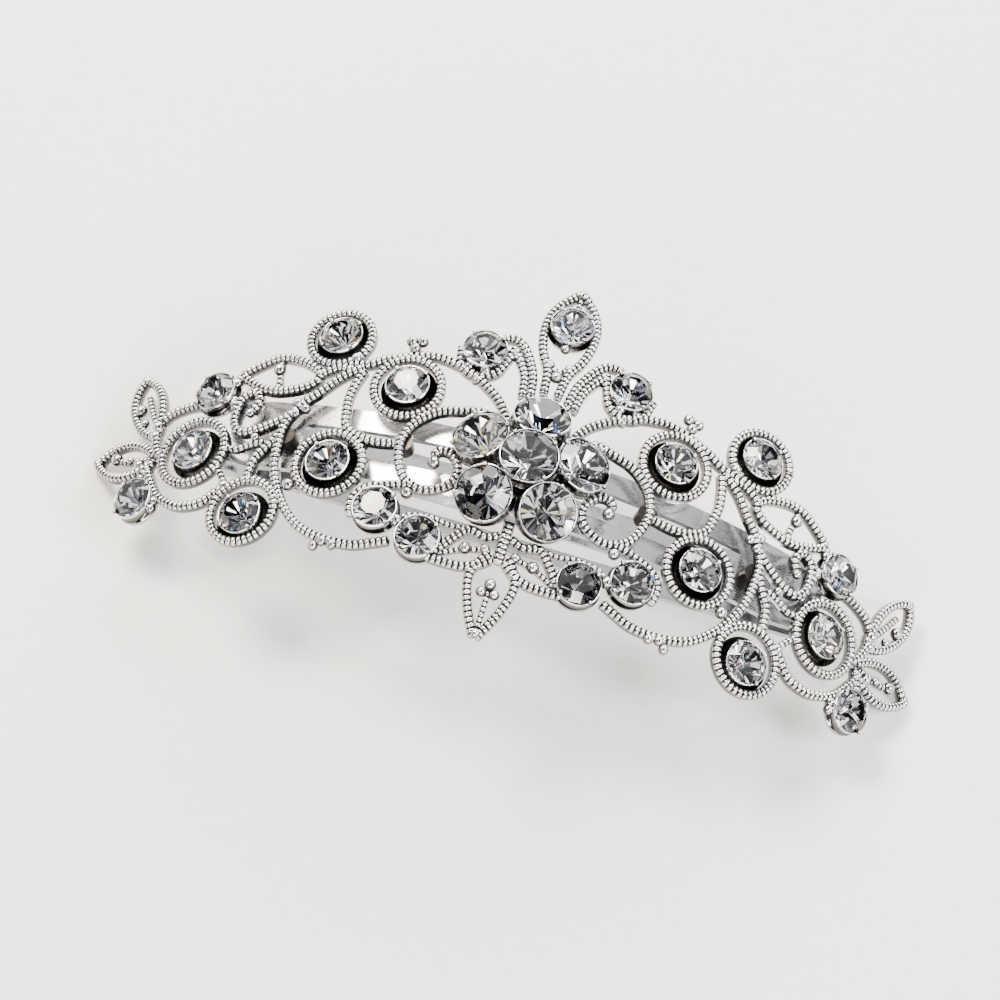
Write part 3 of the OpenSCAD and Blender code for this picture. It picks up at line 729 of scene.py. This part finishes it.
for hand in ("left", "right"):
    shape = cup_group([f"crystal_{hand}_{name}" for name in SCROLL_PLACES])
    fit(shape.piece(f"crystal_cups_{hand}", [rhodium_cup]), "plated_cups", f"{hand}_cups")
fit(cup_group(["crystal_leaf"]).piece("crystal_cup_leaf", [rhodium_cup]),
    "plated_cups", "leaf_cup")
flower = cup_group([n for n in places if "petal" in n or "centre" in n])
# plate under the flower: painted shade on its top under the petals, bright underneath
turned(flower, panel_matrix(0, 0), [(0.001, -0.4, 0.85), (4.5, -0.4, 0.85), (4.6, -0.3, 0.85),
                                    (4.6, 0.7, 0.3), (4.5, 0.8, 0.3), (0.001, 0.8, 0.3)])
fit(flower.piece("crystal_cups_flower", [rhodium_cup]), "plated_cups", "flower_cups")

# %% [markdown]
# ## The clip underneath
# The base bar, the bowed tension bar, the clasp arm and the catch are exact in the packed
# model, so they keep their shapes and only get their finishes.

# %% Finish of the clip parts
FINISHES = {"base_bar": nickel_strip, "catch_plate": nickel_strip, "tension_bar": spring_strip,
            "clasp_arm": spring_strip, "catch_prong_front": spring_strip,
            "catch_prong_back": spring_strip, "hinge_pin": turned_pin, "catch_rivets": turned_pin,
            "solder_pads": silver_solder}
for name, material in FINISHES.items():
    part = nodes[name]
    part.data.materials.clear()
    part.data.materials.append(material)
print("finished", ", ".join(FINISHES))

# %% [markdown]
# ## Floor and studio light
# The clip lies face up on a pale table. Metal and cut glass only look like themselves when
# they have something dark and something bright to mirror. An even sky makes them flat, so
# the room is a mosaic of white panels, grey cloth and black flags, with a few broad soft
# lights. Where the camera sees past the table it sees a pale wall.

# %% Floor
FIBRE_MM = 2.0
FLOOR_HALF = 3.0


def pale_floor():
    material, shader = new_material("matt_white_card")
    shader.inputs["Roughness"].default_value = 0.75
    place = add_node(material, "ShaderNodeTexCoord")
    fibres = add_node(material, "ShaderNodeTexNoise", links={"Vector": place.outputs["Object"]},
                      Scale=1 / (FIBRE_MM * MM), Detail=3.0)
    colour = add_node(material, "ShaderNodeValToRGB", links={"Fac": fibres.outputs["Fac"]},
                      stops=[(0.3, linear("#d9d9d7")), (0.7, linear("#dededc"))])
    material.node_tree.links.new(colour.outputs["Color"], shader.inputs["Base Color"])
    return material


floor = Shape()
floor.add([Vector((x * FLOOR_HALF, y * FLOOR_HALF, cad_low.z))
           for x, y in ((-1, -1), (1, -1), (1, 1), (-1, 1))], [[0, 1, 2, 3]])
floor.piece("table_top", [pale_floor()])

# %% [markdown]
# A warm key light and a warm strip in front brighten the ridges, and a cooler one fills the
# other side. The strip and the dim card behind the clip are there for the stones that lean
# away from the camera, such as the top petal: they mirror whatever stands behind the clip.

# %% Soft lights
MIDDLE_MM = (0, 0, 10)
WARM, NEUTRAL = "#fff4e6", "#ffffff"
LIGHTS = [("key_softbox", (-260, 180, 420), 220, 160, 8.5, WARM),
          ("fill_softbox", (320, -60, 330), 160, 220, 3.5, NEUTRAL),
          ("front_strip", (60, -420, 200), 420, 70, 3.5, WARM),
          ("back_strip", (0, 410, 235), 500, 80, 3.5, NEUTRAL),
          ("back_card", (0, 410, 172), 240, 110, 0.6, NEUTRAL)]


def soft_light(name, place_mm, width_mm, height_mm, watts, colour):
    data = bpy.data.lights.new(name, "AREA")
    data.shape, data.size, data.size_y = "RECTANGLE", width_mm * MM, height_mm * MM
    data.energy, data.color = watts, linear(colour)[:3]
    lamp = bpy.data.objects.new(name, data)
    lamp.location = Vector(place_mm) * MM
    aim = Vector(MIDDLE_MM) - Vector(place_mm)
    lamp.rotation_euler = aim.to_track_quat("-Z", "Y").to_euler()
    bpy.context.scene.collection.objects.link(lamp)


for light in LIGHTS:
    soft_light(*light)
print(len(LIGHTS), "soft lights,", round(sum(light[4] for light in LIGHTS), 1), "W")

# %% [markdown]
# The room's patches come from a Voronoi pattern, which cuts all directions into cells of
# one colour each. Sharp edges between them matter, because a blurred room would take the
# sparkle out of the stones. Camera rays get the wall's colour instead.

# %% The mosaic room
ROOM_STRENGTH = 1.5
CELLS = 2.3
DARK, GREY, PANEL, WALL = (linear(h) for h in ("#0e0e10", "#5f6164", "#ffffff", "#f0f1f3"))
world = bpy.data.worlds.new("studio_of_panels")
bpy.context.scene.world = world
world.use_nodes = True
background = world.node_tree.nodes["Background"]
direction = add_node(world, "ShaderNodeTexCoord")
panels = add_node(world, "ShaderNodeTexVoronoi",
                  links={"Vector": direction.outputs["Generated"]}, Scale=CELLS)
level = add_node(world, "ShaderNodeSeparateColor", links={"Color": panels.outputs["Color"]})
room = add_node(world, "ShaderNodeValToRGB", links={"Fac": level.outputs["Red"]},
                stops=[(0.0, DARK), (0.45, GREY), (0.62, PANEL)])
room.color_ramp.interpolation = "CONSTANT"
seen = add_node(world, "ShaderNodeLightPath")
shown = add_node(world, "ShaderNodeMix", {"data_type": "RGBA"},
                 {"Factor": seen.outputs["Is Camera Ray"], "A": room.outputs["Color"]},
                 B=[c / ROOM_STRENGTH for c in WALL[:3]] + [1.0])
background.inputs["Strength"].default_value = ROOM_STRENGTH
world.node_tree.links.new(shown.outputs["Result"], background.inputs["Color"])
print("room: a mosaic of white panels, grey cloth and black flags")

# %% [markdown]
# ## Camera
# The camera stands 0.4 m away, slightly to the right, looking down at 62 degrees and turned
# by 12 degrees, so the clip runs down to the right across the picture. A long lens keeps
# the far end of the clip from shrinking.

# %% Camera
AZIMUTH, ELEVATION, ROLL = math.radians(5.03), math.radians(61.85), math.radians(11.99)
DISTANCE = 0.4012
SENSOR_MM, LENS_MM = 36.0, 113.4
SHIFT_X, SHIFT_Y = -0.0256, -0.0259
back = Vector((math.sin(AZIMUTH) * math.cos(ELEVATION),
               -math.cos(AZIMUTH) * math.cos(ELEVATION), math.sin(ELEVATION)))
right = (-back).cross(Vector((0, 0, 1))).normalized()
up = right.cross(-back)
turned_right = math.cos(ROLL) * right + math.sin(ROLL) * up
turned_up = math.cos(ROLL) * up - math.sin(ROLL) * right
camera_data = bpy.data.cameras.new("camera")
camera_data.sensor_width, camera_data.lens = SENSOR_MM, LENS_MM
camera_data.shift_x, camera_data.shift_y = SHIFT_X, SHIFT_Y
camera_data.clip_start, camera_data.clip_end = 0.01, 20.0
camera = bpy.data.objects.new("camera", camera_data)
camera.matrix_world = Matrix.Translation(on_panel(0, 0) + back * DISTANCE) @ Matrix(
    (turned_right, turned_up, back)).transposed().to_4x4()
bpy.context.scene.collection.objects.link(camera)
bpy.context.scene.camera = camera
